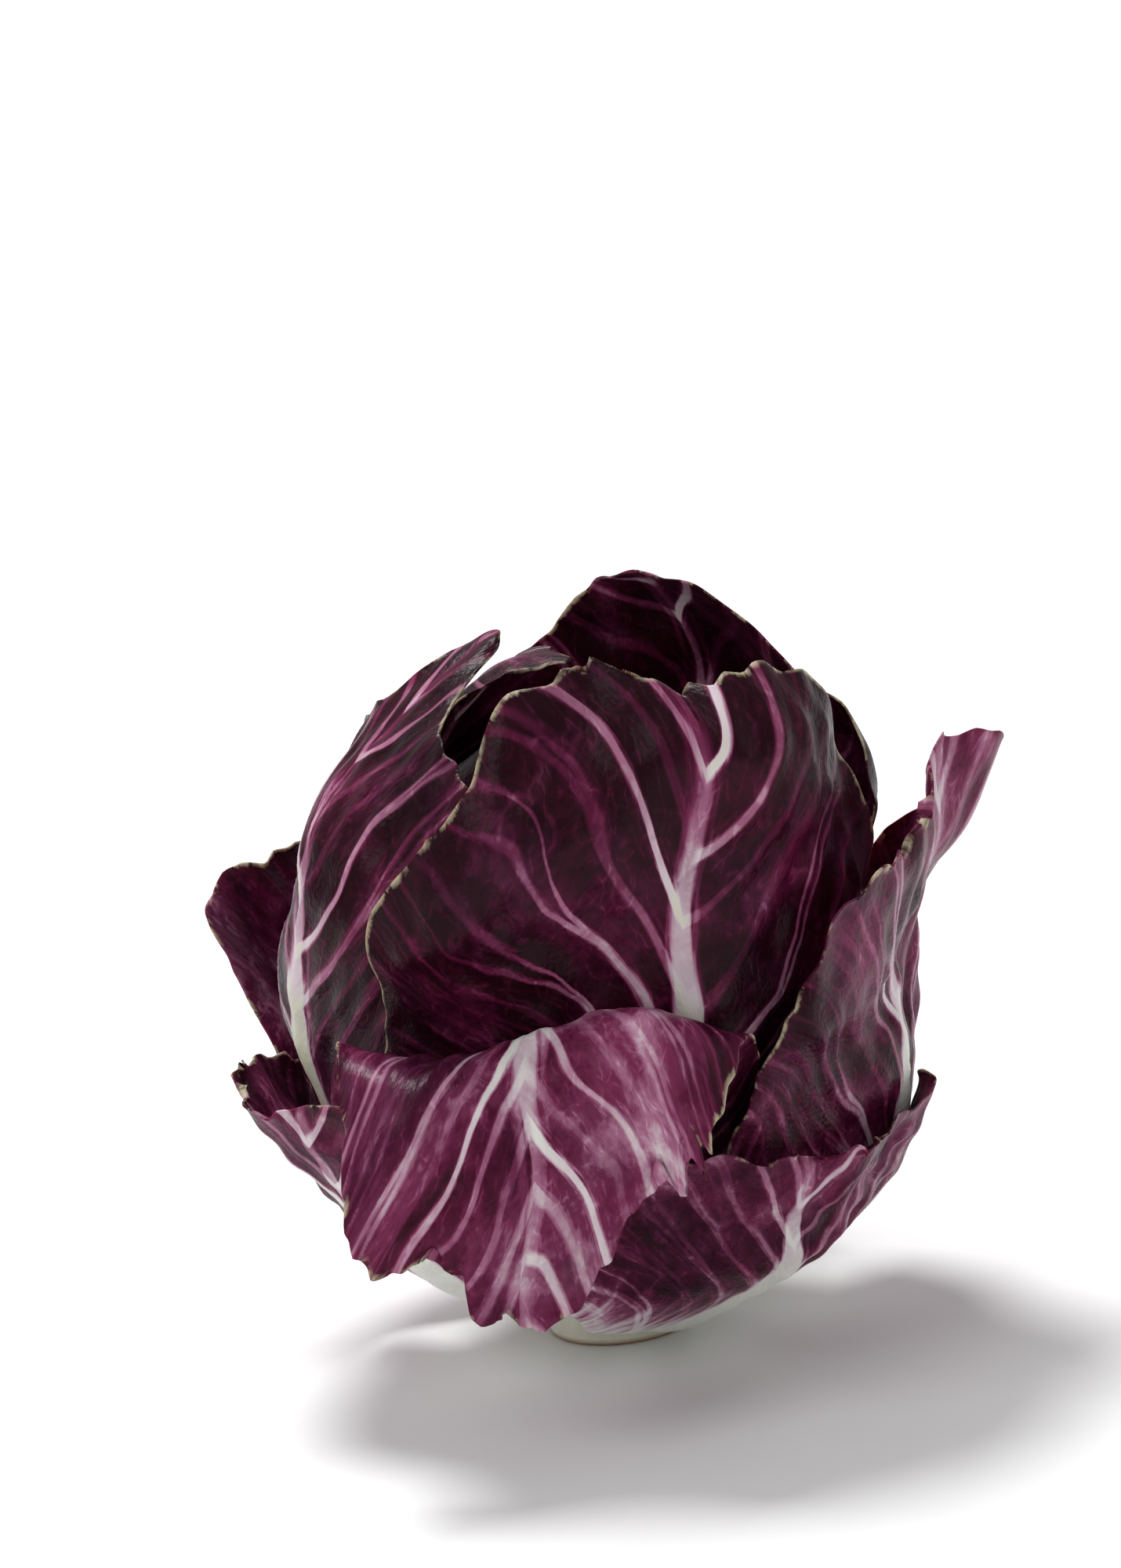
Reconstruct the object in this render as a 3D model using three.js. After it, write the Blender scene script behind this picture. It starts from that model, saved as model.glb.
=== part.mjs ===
// Radicchio head: a short cut stem, a tight heart, wrapped leaves that nest round it,
// outer leaves that stand open above it, and loose leaves that fall open at its foot.
// Millimetres, +Z up, origin at the middle of the stem's flat cut face.

import * as THREE from "three";

// ---- Driving dimensions -------------------------------------------------------------------

const HEAD = {
  centreHeight: 64, // height of the centre that the leaves close round
  upperStretch: 1.14, // the head is longer above its centre than below it
  innermostRadius: 19.6, // of the first leaf's layer
  layerSpacing: 1.86, // from each leaf's layer to the next
};

const STEM = { cutRadius: 13.5, topRadius: 7.5, height: 45, bevel: 1.2 };

const HEART = { radius: 16.6, turns: 3, foldDepth: 1.0 };

const LEAF = {
  halfFoot: 8.5, // half the leaf's width where it leaves the stem
  ribOuter: 1.7, // how far the midrib stands out of the blade's outer face
  ribInner: 0.7, // and of its inner face
  blade: 0.36, // half the blade's thickness
  footClearance: 1.0, // from the stem's side
};

// Waves of the leaves' outline and margin: how many run round a full turn, and how high.
const LOBES = [{ waves: 4, height: 0.03 }, { waves: 9, height: 0.025 }];
const RUFFLES = [{ waves: 6.3, height: 1 }, { waves: 11.2, height: 0.5 }];

// Leaves that close over the heart, by a rule: each grows a golden angle on from the last.
const CLOSED = {
  count: 11,
  firstBearing: 140,
  goldenAngle: 137.508,
  tipAngle: [196, 170], // how far round from below the innermost and outermost reach
  halfWidth: [84, 78], // and spread to each side
};

// Between these degrees, counted from straight below, an open leaf comes off its layer.
const FLARE_BETWEEN = [80, 150];

// Leaves that stand open above them, from the inside out, with angles in degrees. flare is
// how far the top stands off the leaf's layer, lip how far its margin rolls out beyond that.
const OPEN_LEAVES = [
  { bearing: 24, flare: 3, tipAngle: 164, halfWidth: 76, point: 2, lip: 0, ruffle: 0.6 },
  { bearing: 247, flare: 5.5, tipAngle: 162, halfWidth: 72, point: 3, lip: 0, ruffle: 0.7 },
  { bearing: 132, flare: 8, tipAngle: 160, halfWidth: 60, point: 14, lip: 0, ruffle: 0.8 },
  { bearing: 340, flare: 10.5, tipAngle: 148, halfWidth: 72, point: 2, lip: 2, ruffle: 0.9 },
  { bearing: 200, flare: 13, tipAngle: 152, halfWidth: 56, point: 15, lip: 0, ruffle: 1.0 },
  { bearing: 58, flare: 15.5, tipAngle: 150, halfWidth: 65, point: 0, lip: 0, ruffle: 0.9 },
  { bearing: 290, flare: 19, tipAngle: 144, halfWidth: 64, point: 0, lip: 4, ruffle: 2.2 },
];

// Leaves that have loosened from the head, in layers further apart. Above fold.height each
// turns outwards through fold.angle, round a line across it with a bend of fold.radius.
const LOOSE_LEAVES = [
  {
    name: "loose_leaf_front",
    layer: 18.6,
    bearing: 262,
    flare: 20,
    tipAngle: 140,
    halfWidth: 40,
    point: 2,
    ruffle: 2.2,
    fold: { height: 64, radius: 10, angle: 180, tilt: -2, arch: 0.011 },
  },
  {
    name: "loose_leaf_left",
    layer: 20.2,
    bearing: 219,
    flare: 21,
    tipAngle: 85,
    halfWidth: 54,
    ruffle: 1.8,
    fold: { height: 38, radius: 40, angle: 30 },
  },
  {
    name: "loose_leaf_right",
    layer: 21.8,
    bearing: 347,
    flare: 22,
    tipAngle: 120,
    halfWidth: 50,
    ruffle: 2.6,
    fold: { height: 76, radius: 34, angle: 18 },
  },
  {
    name: "loose_leaf_back",
    layer: 23.4,
    bearing: 108,
    flare: 23,
    tipAngle: 110,
    halfWidth: 58,
    ruffle: 3.0,
    fold: { height: 60, radius: 24, angle: 36 },
  },
  {
    name: "loose_leaf_low",
    layer: 23.2,
    bearing: 303,
    flare: 24,
    tipAngle: 74,
    halfWidth: 50,
    ruffle: 2.4,
    fold: { height: 26, radius: 30, angle: 26 },
  },
];

const OUTERMOST_LAYER = 23.4; // grows at the foot of the stem
const FOLD_SPREAD = 0.6; // how much wider a fold's bend gets towards the leaf's sides

// Slow bends through the whole head: along one axis, by the place in a direction across it.
const BENDS = [
  { along: "x", by: [0, 0, 1], size: 2.6, wave: 17, phase: 1.1 },
  { along: "x", by: [0, 1, 0], size: 2.0, wave: 11, phase: 0.4 },
  { along: "y", by: [0, 0, 1], size: 2.4, wave: 15, phase: 3.9 },
  { along: "y", by: [1, 0, 0], size: 2.0, wave: 12, phase: 2.2 },
  { along: "z", by: [1, 0, 0], size: 2.2, wave: 13, phase: 0.7 },
  { along: "z", by: [0, 1, 0], size: 2.0, wave: 15, phase: 5.1 },
];

// Shorter bends on top of those, which crumple the outer leaves alike.
const CRUMPLED_BETWEEN = [30, 46]; // none nearer the head's centre than this, all beyond
const CRUMPLES = [
  { along: "x", by: [0, 0.9, 0.4], size: 1.4, wave: 6.4, phase: 0.9 },
  { along: "x", by: [0, -0.5, 0.9], size: 1.4, wave: 7.1, phase: 2.4 },
  { along: "y", by: [0.9, 0, 0.5], size: 1.4, wave: 6.8, phase: 4.4 },
  { along: "y", by: [-0.4, 0, 0.9], size: 1.4, wave: 6.1, phase: 1.7 },
  { along: "z", by: [0.9, 0.3, 0], size: 1.4, wave: 7.3, phase: 3.1 },
  { along: "z", by: [-0.4, 0.9, 0], size: 1.4, wave: 6.6, phase: 5.6 },
];

// A fallen leaf stays on top of the surface that the head stands on.
const SURFACE = { lowest: 0.8, softness: 1.1 };

// Columns across and rows up each kind of leaf.
const GRID = { closed: [11, 10], open: [13, 12], loose: [11, 18] };

const COLOURS = {
  open: 0x5e2540,
  closed: 0x6f2c4d,
  stem: 0xd9d3bd,
};

// ---- Small maths --------------------------------------------------------------------------

const RADIANS = Math.PI / 180;
const mix = (a, b, t) => a + (b - a) * t;
const ease = (from, to, t) => {
  const x = Math.min(1, Math.max(0, (t - from) / (to - from)));
  return x * x * (3 - 2 * x);
};

const sum = (list, value) => list.reduce((total, item) => total + value(item), 0);

// ---- A leaf laid flat ---------------------------------------------------------------------
// u runs across the leaf from -1 to 1 and w up it, from its foot at -1 to its top at 1. The
// square of u and w is rounded into an oval, and drawn in below to the narrow foot.

function flatPoint(leaf, u, w) {
  const foot = LEAF.halfFoot / (leaf.halfWidth * Math.SQRT1_2);
  const spread = mix(foot, 1, ease(-1, -0.15, w));
  const x = u * Math.sqrt(1 - (w * w) / 2) * spread;
  const y = w * Math.sqrt(1 - (ease(-1, 0, w) * u * u) / 2);
  const turn = Math.atan2(x, y + 0.2);
  const lobes = 1 + edge(u, w) * sum(LOBES, (l) => l.height * Math.sin(l.waves * turn + leaf.phase));
  const tip = leaf.point * Math.exp(-((x / 0.22) ** 2)) * ease(0.2, 1, y);
  return { x: leaf.halfWidth * x * lobes, y: (leaf.length / 2) * (1 + y * lobes) + tip };
}

// 0 over most of the leaf and at its foot, 1 along its margin.
function edge(u, w) {
  return (1 - (1 - Math.abs(u) ** 4) * (1 - Math.max(0, w) ** 4)) * ease(-1, -0.3, w);
}

// Waves along the margin.
function ruffle(leaf, u, w) {
  const turn = Math.atan2(u, w + 0.2);
  const wave = sum(RUFFLES, (r) => r.height * Math.sin(r.waves * (turn + leaf.phase)));
  return leaf.ruffle * edge(u, w) * mix(0.35, 1, ease(-0.2, 0.8, w)) * wave;
}

// ---- A leaf on the head --------------------------------------------------------------------

// Every leaf is a cap laid on a ball round the head's centre, its layer, from its foot at the
// stem up over the head. Layer number 0 is the innermost.
function layOnLayer(leaf, number) {
  const radius = HEAD.innermostRadius + HEAD.layerSpacing * number;
  const footRadius = mix(STEM.topRadius, STEM.cutRadius, number / OUTERMOST_LAYER) + LEAF.footClearance;
  const footAngle = Math.asin(footRadius / radius) / RADIANS;
  return {
    flare: 0,
    lip: 0,
    point: 2,
    ...leaf,
    radius,
    footAngle,
    length: radius * (leaf.tipAngle - footAngle) * RADIANS,
    halfWidth: radius * leaf.halfWidth * RADIANS,
    phase: number * 2.1,
  };
}

const closedLeaves = Array.from({ length: CLOSED.count }, (_, number) => {
  const share = number / (CLOSED.count - 1);
  return layOnLayer({
    name: `leaf_${String(number + 1).padStart(2, "0")}`,
    bearing: CLOSED.firstBearing - number * CLOSED.goldenAngle,
    tipAngle: mix(...CLOSED.tipAngle, share) + 6 * Math.sin(number * 2.3),
    halfWidth: mix(...CLOSED.halfWidth, share),
    ruffle: 0.2,
  }, number);
});

const openLeaves = OPEN_LEAVES.map((leaf, i) => {
  const number = CLOSED.count + i;
  const name = `leaf_${String(number + 1).padStart(2, "0")}`;
  return layOnLayer({ ...leaf, name }, number);
});

const looseLeaves = LOOSE_LEAVES.map((leaf) => layOnLayer(leaf, leaf.layer));

// Turns what is above the fold outwards, round a line across the leaf. The line crosses the
// midrib at the fold's height, slants by its tilt and droops towards both sides by its arch.
function foldOut(leaf, p) {
  const { fold, radius } = leaf;
  const tilt = (fold.tilt ?? 0) * RADIANS;
  const along = p.side * Math.cos(tilt) + (p.up - fold.height) * Math.sin(tilt);
  const line = -(fold.arch ?? 0) * along ** 2;
  const above = (p.up - fold.height) * Math.cos(tilt) - p.side * Math.sin(tilt) - line;
  if (above <= 0) return p;
  const belowCentre = Math.max(0, HEAD.centreHeight - fold.height);
  const midribOut = Math.sqrt(radius ** 2 - belowCentre ** 2);
  const turned = Math.min(above / fold.radius, fold.angle * RADIANS);
  const beyond = above - turned * fold.radius;
  const arm = fold.radius + FOLD_SPREAD * (midribOut - p.out);
  const rise = line + arm * Math.sin(turned) + beyond * Math.cos(turned);
  return {
    out: p.out + arm * (1 - Math.cos(turned)) + beyond * Math.sin(turned),
    side: along * Math.cos(tilt) - rise * Math.sin(tilt),
    up: fold.height + along * Math.sin(tilt) + rise * Math.cos(tilt),
  };
}

// Bends alike for every leaf, so that nested leaves stay nested, and none at the cut face.
function bend(p, bends = BENDS, share = 1) {
  const hold = share * ease(8, 46, p.length());
  const moved = p.clone();
  for (const { along, by, size, wave, phase } of bends) {
    const free = along === "z" ? ease(8, 40, p.z) : 1;
    moved[along] += hold * free * size * Math.sin(p.dot(new THREE.Vector3(...by)) / wave + phase);
  }
  return moved;
}

function settle(up) {
  const above = up - SURFACE.lowest;
  return SURFACE.lowest + (above + Math.hypot(above, 2 * SURFACE.softness)) / 2;
}

function leafPoint(leaf, u, w) {
  const flat = flatPoint(leaf, u, w);
  const middle = leaf.footAngle * RADIANS + leaf.length / 2 / leaf.radius;
  const fromMiddle = { x: flat.x, y: flat.y - leaf.length / 2 };
  const away = Math.hypot(fromMiddle.x, fromMiddle.y) || 1e-9;
  const arc = away / leaf.radius;
  const across = (Math.sin(arc) * fromMiddle.x) / away;
  const upward = (Math.sin(arc) * fromMiddle.y) / away;
  const out = Math.cos(arc) * Math.sin(middle) + upward * Math.cos(middle);
  const up = -Math.cos(arc) * Math.cos(middle) + upward * Math.sin(middle);
  const height = Math.acos(Math.min(1, Math.max(-1, -up))) / RADIANS;
  const open = leaf.flare * ease(...FLARE_BETWEEN, height) + leaf.lip * ease(0.6, 1, w);
  const r = leaf.radius + open + ruffle(leaf, u, w);
  const onBall = {
    out: r * out,
    side: r * across,
    up: HEAD.centreHeight + r * up * (up > 0 ? HEAD.upperStretch : 1),
  };
  const p = leaf.fold ? foldOut(leaf, onBall) : onBall;
  const turn = leaf.bearing * RADIANS;
  const placed = new THREE.Vector3(
    p.out * Math.cos(turn) - p.side * Math.sin(turn),
    p.out * Math.sin(turn) + p.side * Math.cos(turn),
    settle(p.up),
  );
  const fromCentre = Math.hypot(placed.x, placed.y, placed.z - HEAD.centreHeight);
  return bend(bend(placed), CRUMPLES, ease(...CRUMPLED_BETWEEN, fromCentre));
}

// ---- Solids --------------------------------------------------------------------------------

// Half-thicknesses of a blade: the midrib is thick at the foot and fades into the blade.
function thickness(leaf, u, w) {
  const flat = flatPoint(leaf, u, w);
  const share = Math.min(1, Math.max(0, flat.y / leaf.length));
  const halfRib = mix(0.75 * LEAF.halfFoot, 2.5, ease(0, 0.6, share));
  const ridge = Math.exp(-((flat.x / halfRib) ** 2)) * (1 - ease(0.05, 0.9, share));
  return { outer: LEAF.blade + LEAF.ribOuter * ridge, inner: LEAF.blade + LEAF.ribInner * ridge };
}

// A closed blade round a sheet: two faces split into triangles alike, and a wall round them.
function bladeGeometry(leaf, [columns, rows]) {
  const outer = [];
  const inner = [];
  const step = 1e-3;
  for (let row = 0; row <= rows; row += 1) {
    for (let column = 0; column <= columns; column += 1) {
      const u = (2 * column) / columns - 1;
      const w = (2 * row) / rows - 1;
      const p = leafPoint(leaf, u, w);
      const across = leafPoint(leaf, u + step, w).sub(leafPoint(leaf, u - step, w));
      const up = leafPoint(leaf, u, w + step).sub(leafPoint(leaf, u, w - step));
      const normal = across.cross(up).normalize();
      const half = thickness(leaf, u, w);
      outer.push(p.clone().addScaledVector(normal, half.outer));
      inner.push(p.clone().addScaledVector(normal, -half.inner));
    }
  }
  const at = (row, column) => row * (columns + 1) + column;
  const back = outer.length;
  const faces = [];
  for (let row = 0; row < rows; row += 1) {
    for (let column = 0; column < columns; column += 1) {
      const [a, b] = [at(row, column), at(row, column + 1)];
      const [d, c] = [at(row + 1, column), at(row + 1, column + 1)];
      faces.push(a, b, c, a, c, d);
      faces.push(back + a, back + c, back + b, back + a, back + d, back + c);
    }
  }
  const rim = [];
  for (let column = 0; column < columns; column += 1) rim.push(at(0, column));
  for (let row = 0; row < rows; row += 1) rim.push(at(row, columns));
  for (let column = columns; column > 0; column -= 1) rim.push(at(rows, column));
  for (let row = rows; row > 0; row -= 1) rim.push(at(row, 0));
  rim.forEach((p, i) => {
    const q = rim[(i + 1) % rim.length];
    faces.push(p, back + q, q, p, back + p, back + q);
  });
  return new THREE.BufferGeometry().setFromPoints([...outer, ...inner]).setIndex(faces);
}

function stemGeometry() {
  const side = new THREE.LineCurve(
    new THREE.Vector2(STEM.cutRadius, STEM.bevel),
    new THREE.Vector2(STEM.topRadius, STEM.height),
  );
  const profile = [
    new THREE.Vector2(0, 0),
    new THREE.Vector2(STEM.cutRadius - STEM.bevel, 0),
    ...side.getPoints(4),
    new THREE.Vector2(0, STEM.height),
  ];
  const geometry = new THREE.LatheGeometry(profile, 20).rotateX(Math.PI / 2);
  return reshape(geometry, bend);
}

// Moves every vertex of a geometry to where the shape puts it.
function reshape(geometry, shape) {
  const position = geometry.getAttribute("position");
  const p = new THREE.Vector3();
  for (let i = 0; i < position.count; i += 1) {
    const moved = shape(p.fromBufferAttribute(position, i));
    position.setXYZ(i, moved.x, moved.y, moved.z);
  }
  return geometry;
}

// The heart: leaves too young to part, each edge a low fold that winds up to the tip.
function heartGeometry() {
  const ball = new THREE.SphereGeometry(1, 20, 12).rotateX(Math.PI / 2);
  return reshape(ball, (p) => {
    const bearing = Math.atan2(p.y, p.x);
    const height = Math.acos(Math.max(-1, Math.min(1, -p.z)));
    const fold = Math.sin(HEART.turns * bearing + 3 * height) * Math.sin(height) ** 2;
    const r = HEART.radius + HEART.foldDepth * fold;
    const up = p.z * r * (p.z > 0 ? HEAD.upperStretch : 1);
    return bend(new THREE.Vector3(p.x * r, p.y * r, HEAD.centreHeight + up));
  });
}

// ---- Assembly ------------------------------------------------------------------------------

const root = new THREE.Group();

function add(name, geometry, colour) {
  const material = new THREE.MeshStandardMaterial({ color: colour, roughness: 0.45, metalness: 0 });
  const mesh = new THREE.Mesh(geometry, material);
  mesh.name = name;
  root.add(mesh);
}

add("stem", stemGeometry(), COLOURS.stem);
add("heart", heartGeometry(), COLOURS.closed);
for (const leaf of closedLeaves) add(leaf.name, bladeGeometry(leaf, GRID.closed), COLOURS.closed);
for (const leaf of openLeaves) add(leaf.name, bladeGeometry(leaf, GRID.open), COLOURS.open);
for (const leaf of looseLeaves) add(leaf.name, bladeGeometry(leaf, GRID.loose), COLOURS.open);

export default root;
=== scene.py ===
# A radicchio head that has opened loosely: stem, heart, closed leaves, open leaves and loose
# leaves, in the order in which they grow out of the stem. Sizes are in millimetres.

import math
from types import SimpleNamespace

import bmesh
import bpy
import numpy as np
from mathutils import Matrix, Vector


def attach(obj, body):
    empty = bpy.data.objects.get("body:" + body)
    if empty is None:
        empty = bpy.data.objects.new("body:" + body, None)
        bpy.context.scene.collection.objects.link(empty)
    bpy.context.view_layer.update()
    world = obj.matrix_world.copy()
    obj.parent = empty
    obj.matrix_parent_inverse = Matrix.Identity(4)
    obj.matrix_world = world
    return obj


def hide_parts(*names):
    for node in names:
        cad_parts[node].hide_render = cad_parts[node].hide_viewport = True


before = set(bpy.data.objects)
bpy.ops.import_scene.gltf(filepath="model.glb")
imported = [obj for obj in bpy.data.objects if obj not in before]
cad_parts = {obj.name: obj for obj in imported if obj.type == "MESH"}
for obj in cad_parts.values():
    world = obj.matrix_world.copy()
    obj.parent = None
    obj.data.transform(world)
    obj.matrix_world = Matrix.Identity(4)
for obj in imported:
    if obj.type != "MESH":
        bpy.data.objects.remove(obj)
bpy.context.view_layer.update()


# ---- Stem ----------------------------------------------------------------------------------
# The short solid stub that every leaf grows from, cream-white pith under a thin rind. It was
# cut flat with a knife, and the cut has begun to brown from its edge inwards.

MM = 0.001
CUT_RADIUS = 13.5
TOP_RADIUS = 7.5
STEM_HEIGHT = 45
STEM_BEVEL = 1.2
SIDE_CUTS = 30
CAP_RINGS = (1.5, 2.5, 3, 3)  # so that the caps bend as the side does
FLUTED_BETWEEN = (2, 7)  # above the cut, where the flutes begin and where they are full
FLUTES = ((3, 0.35, 5), (5, 0.25, -3))  # how many, their size, and the mm of height to a radian

# Slow bends that run through the whole head: the axis moved, the direction along which the
# bend runs, and its size, wave and phase. They grow from the cut face up.
BENT_BETWEEN = (8, 46)  # from the middle of the cut face
LIFTED_BETWEEN = (8, 40)  # above it, where a bend moves things up or down
BENDS = (
    (0, (0, 0, 1), 2.6, 17, 1.1),
    (0, (0, 1, 0), 2.0, 11, 0.4),
    (1, (0, 0, 1), 2.4, 15, 3.9),
    (1, (1, 0, 0), 2.0, 12, 2.2),
    (2, (1, 0, 0), 2.2, 13, 0.7),
    (2, (0, 1, 0), 2.0, 15, 5.1),
)


def ease(start, end, t):
    """0 up to the start and 1 from the end on, with a soft step between them."""
    share = np.clip((t - start) / (end - start), 0, 1)
    return share * share * (3 - 2 * share)


def mix(a, b, share):
    return a + (b - a) * share


def bend(points, bends=BENDS, share=1):
    """Bends stem, heart and leaves alike, so that they stay nested, and none at the cut."""
    hold = share * ease(*BENT_BETWEEN, np.linalg.norm(points, axis=1))
    moved = points.copy()
    for axis, along, size, wave, phase in bends:
        free = ease(*LIFTED_BETWEEN, points[:, 2]) if axis == 2 else 1
        moved[:, axis] += hold * free * size * np.sin(points @ along / wave + phase)
    return moved


def points_of(mesh):
    points = np.empty(3 * len(mesh.vertices), np.float32)
    mesh.vertices.foreach_get("co", points)
    return points.reshape(-1, 3).astype(float)


def place_points(mesh, points):
    mesh.vertices.foreach_set("co", (points * MM).ravel().astype(np.float32))
    mesh.update()


def colour(value):
    """An sRGB hex value as the linear colour that a shader takes."""
    shares = [int(value[i:i + 2], 16) / 255 for i in (1, 3, 5)]
    return (*[s / 12.92 if s <= 0.04045 else ((s + 0.055) / 1.055) ** 2.4 for s in shares], 1)


def new_tree(name):
    material = bpy.data.materials.new(name)
    material.use_nodes = True
    material.node_tree.nodes.clear()
    return material, material.node_tree


def add(tree, kind, inputs=None, out=0, **settings):
    """Adds a node with its settings, and its inputs' values or the sockets that feed them."""
    made = tree.nodes.new("ShaderNode" + kind)
    for name, value in settings.items():
        setattr(made, name, value)
    for key, value in (inputs or {}).items():
        if isinstance(value, bpy.types.NodeSocket):
            tree.links.new(value, made.inputs[key])
        else:
            made.inputs[key].default_value = value
    return made.outputs[out] if len(made.outputs) else made


def add_piece(name, mesh, material, node):
    mesh.materials.append(material)
    mesh.shade_smooth()
    piece = bpy.data.objects.new(name, mesh)
    bpy.context.scene.collection.objects.link(piece)
    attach(piece, "root")
    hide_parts(node)
    return piece


def cut_pith():
    """Moist pith: cream white, with faint fibres up its side, browned where it was cut."""
    material, tree = new_tree("cut_pith")
    place = add(tree, "TexCoord", out="Object")
    axes = add(tree, "SeparateXYZ", {0: place}).node
    flat = add(tree, "CombineXYZ", {0: axes.outputs[0], 1: axes.outputs[1]})
    radius = add(tree, "VectorMath", {0: flat}, out="Value", operation="LENGTH")
    mottle = add(tree, "TexNoise", {"Vector": place, "Scale": 1 / (4 * MM), "Detail": 5})
    ragged = add(tree, "Math", {0: mottle, 1: 3 * MM, 2: radius}, operation="MULTIPLY_ADD")
    fibres = add(tree, "VectorMath", {0: place, 1: (1, 1, 0.12)}, operation="MULTIPLY")
    streaks = add(tree, "TexNoise", {"Vector": fibres, "Scale": 1 / (0.9 * MM), "Detail": 4})
    side = add(tree, "Mix", {0: streaks, 6: colour("#d8d6c0"), 7: colour("#efece0")}, out=2,
               data_type="RGBA")
    cut = add(tree, "ValToRGB", {0: add(tree, "MapRange", {
        "Value": ragged, "From Min": 0.0, "From Max": (CUT_RADIUS + 2.5) * MM})})
    ramp = cut.node.color_ramp
    ramp.elements[0].color = colour("#d9c7a2")
    ramp.elements[1].color = colour("#7d5a3a")
    for place_on_ramp, tone in ((0.42, "#cfb78c"), (0.62, "#dccdaa"), (0.82, "#b08a5c")):
        ramp.elements.new(place_on_ramp).color = colour(tone)
    low = add(tree, "MapRange", {"Value": axes.outputs[2], "From Min": 0.2 * MM,
                                 "From Max": 1.4 * MM, "To Min": 1.0, "To Max": 0.0})
    surface = add(tree, "Mix", {0: low, 6: side, 7: cut}, out=2, data_type="RGBA")
    bump = add(tree, "Bump", {"Strength": 0.4, "Distance": 0.3 * MM, "Height": streaks})
    shader = add(tree, "BsdfPrincipled", {
        "Base Color": surface, "Roughness": 0.45, "Normal": bump,
        "Subsurface Weight": 0.3, "Subsurface Scale": 2 * MM})
    add(tree, "OutputMaterial", {"Surface": shader})
    return material


bm = bmesh.new()
bmesh.ops.create_cone(bm, cap_ends=True, segments=96, radius1=CUT_RADIUS, radius2=TOP_RADIUS,
                      depth=STEM_HEIGHT)
bmesh.ops.translate(bm, vec=(0, 0, STEM_HEIGHT / 2), verts=bm.verts)
cut_edge = [e for e in bm.edges if all(v.co.z < 1 for v in e.verts)]
bmesh.ops.bevel(bm, geom=cut_edge, offset=STEM_BEVEL, segments=4, profile=0.5, affect="EDGES",
                material=-1)
upright = [e for e in bm.edges if abs(e.verts[0].co.z - e.verts[1].co.z) > STEM_HEIGHT / 2]
bmesh.ops.subdivide_edges(bm, edges=upright, cuts=SIDE_CUTS)
for cap in [f for f in bm.faces if len(f.verts) > 4]:
    for ring in CAP_RINGS:
        bmesh.ops.inset_region(bm, faces=[cap], thickness=ring, use_even_offset=True)
mesh = bpy.data.meshes.new("stem")
bm.to_mesh(mesh)
bm.free()

points = points_of(mesh)
bearing = np.arctan2(points[:, 1], points[:, 0])
flutes = sum(size * np.sin(count * bearing + points[:, 2] / wind) for count, size, wind in FLUTES)
swell = flutes * ease(*FLUTED_BETWEEN, points[:, 2])
points[:, 0] += swell * np.cos(bearing)
points[:, 1] += swell * np.sin(bearing)
place_points(mesh, bend(points))
add_piece("cut_stem", mesh, cut_pith(), "stem")


# ---- Heart ---------------------------------------------------------------------------------
# The leaves too young to part, packed in one pointed bud on top of the stem. Each edge shows
# as a low fold that winds up to the tip, blanched where no light reaches it.

CENTRE_HEIGHT = 64
UPPER_STRETCH = 1.14
HEART_RADIUS = 16.6
HEART_FOLDS = 3
FOLD_SIZE = 1.0
FOLD_WINDING = 3  # how far the folds turn round the bud on their way up, for each radian


def blanched_bud():
    """Young leaf tissue: cream, flushed with magenta along the folds, damp and smooth."""
    material, tree = new_tree("blanched_bud")
    place = add(tree, "TexCoord", out="Object")
    long_way = add(tree, "VectorMath", {0: place, 1: (1, 1, 0.3)}, operation="MULTIPLY")
    streaks = add(tree, "TexNoise", {"Vector": long_way, "Scale": 1 / (3 * MM), "Detail": 6})
    tone = add(tree, "ValToRGB", {0: streaks})
    ramp = tone.node.color_ramp
    ramp.elements[0].position = 0.35
    ramp.elements[0].color = colour("#8a3a62")
    ramp.elements[1].position = 0.7
    ramp.elements[1].color = colour("#e6dccb")
    bump = add(tree, "Bump", {"Strength": 0.4, "Distance": 0.4 * MM, "Height": streaks})
    shader = add(tree, "BsdfPrincipled", {
        "Base Color": tone, "Roughness": 0.4, "Normal": bump,
        "Subsurface Weight": 0.3, "Subsurface Scale": 2 * MM})
    add(tree, "OutputMaterial", {"Surface": shader})
    return material


bm = bmesh.new()
bmesh.ops.create_uvsphere(bm, u_segments=96, v_segments=64, radius=1)
mesh = bpy.data.meshes.new("heart")
bm.to_mesh(mesh)
bm.free()

ball = points_of(mesh)
bearing = np.arctan2(ball[:, 1], ball[:, 0])
height = np.arccos(np.clip(-ball[:, 2], -1, 1))
fold = np.sin(HEART_FOLDS * bearing + FOLD_WINDING * height) * np.sin(height) ** 2
ball *= (HEART_RADIUS + FOLD_SIZE * fold)[:, None]
ball[:, 2] *= np.where(ball[:, 2] > 0, UPPER_STRETCH, 1)
ball[:, 2] += CENTRE_HEIGHT
place_points(mesh, bend(ball))
add_piece("heart_bud", mesh, blanched_bud(), "heart")


# ---- Closed leaves -------------------------------------------------------------------------
# Round fleshy leaves that close over the heart like caps on a ball, each grown a golden angle
# on from the last. A white rib stands out of each back, and side ribs fork towards the margin.

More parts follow.
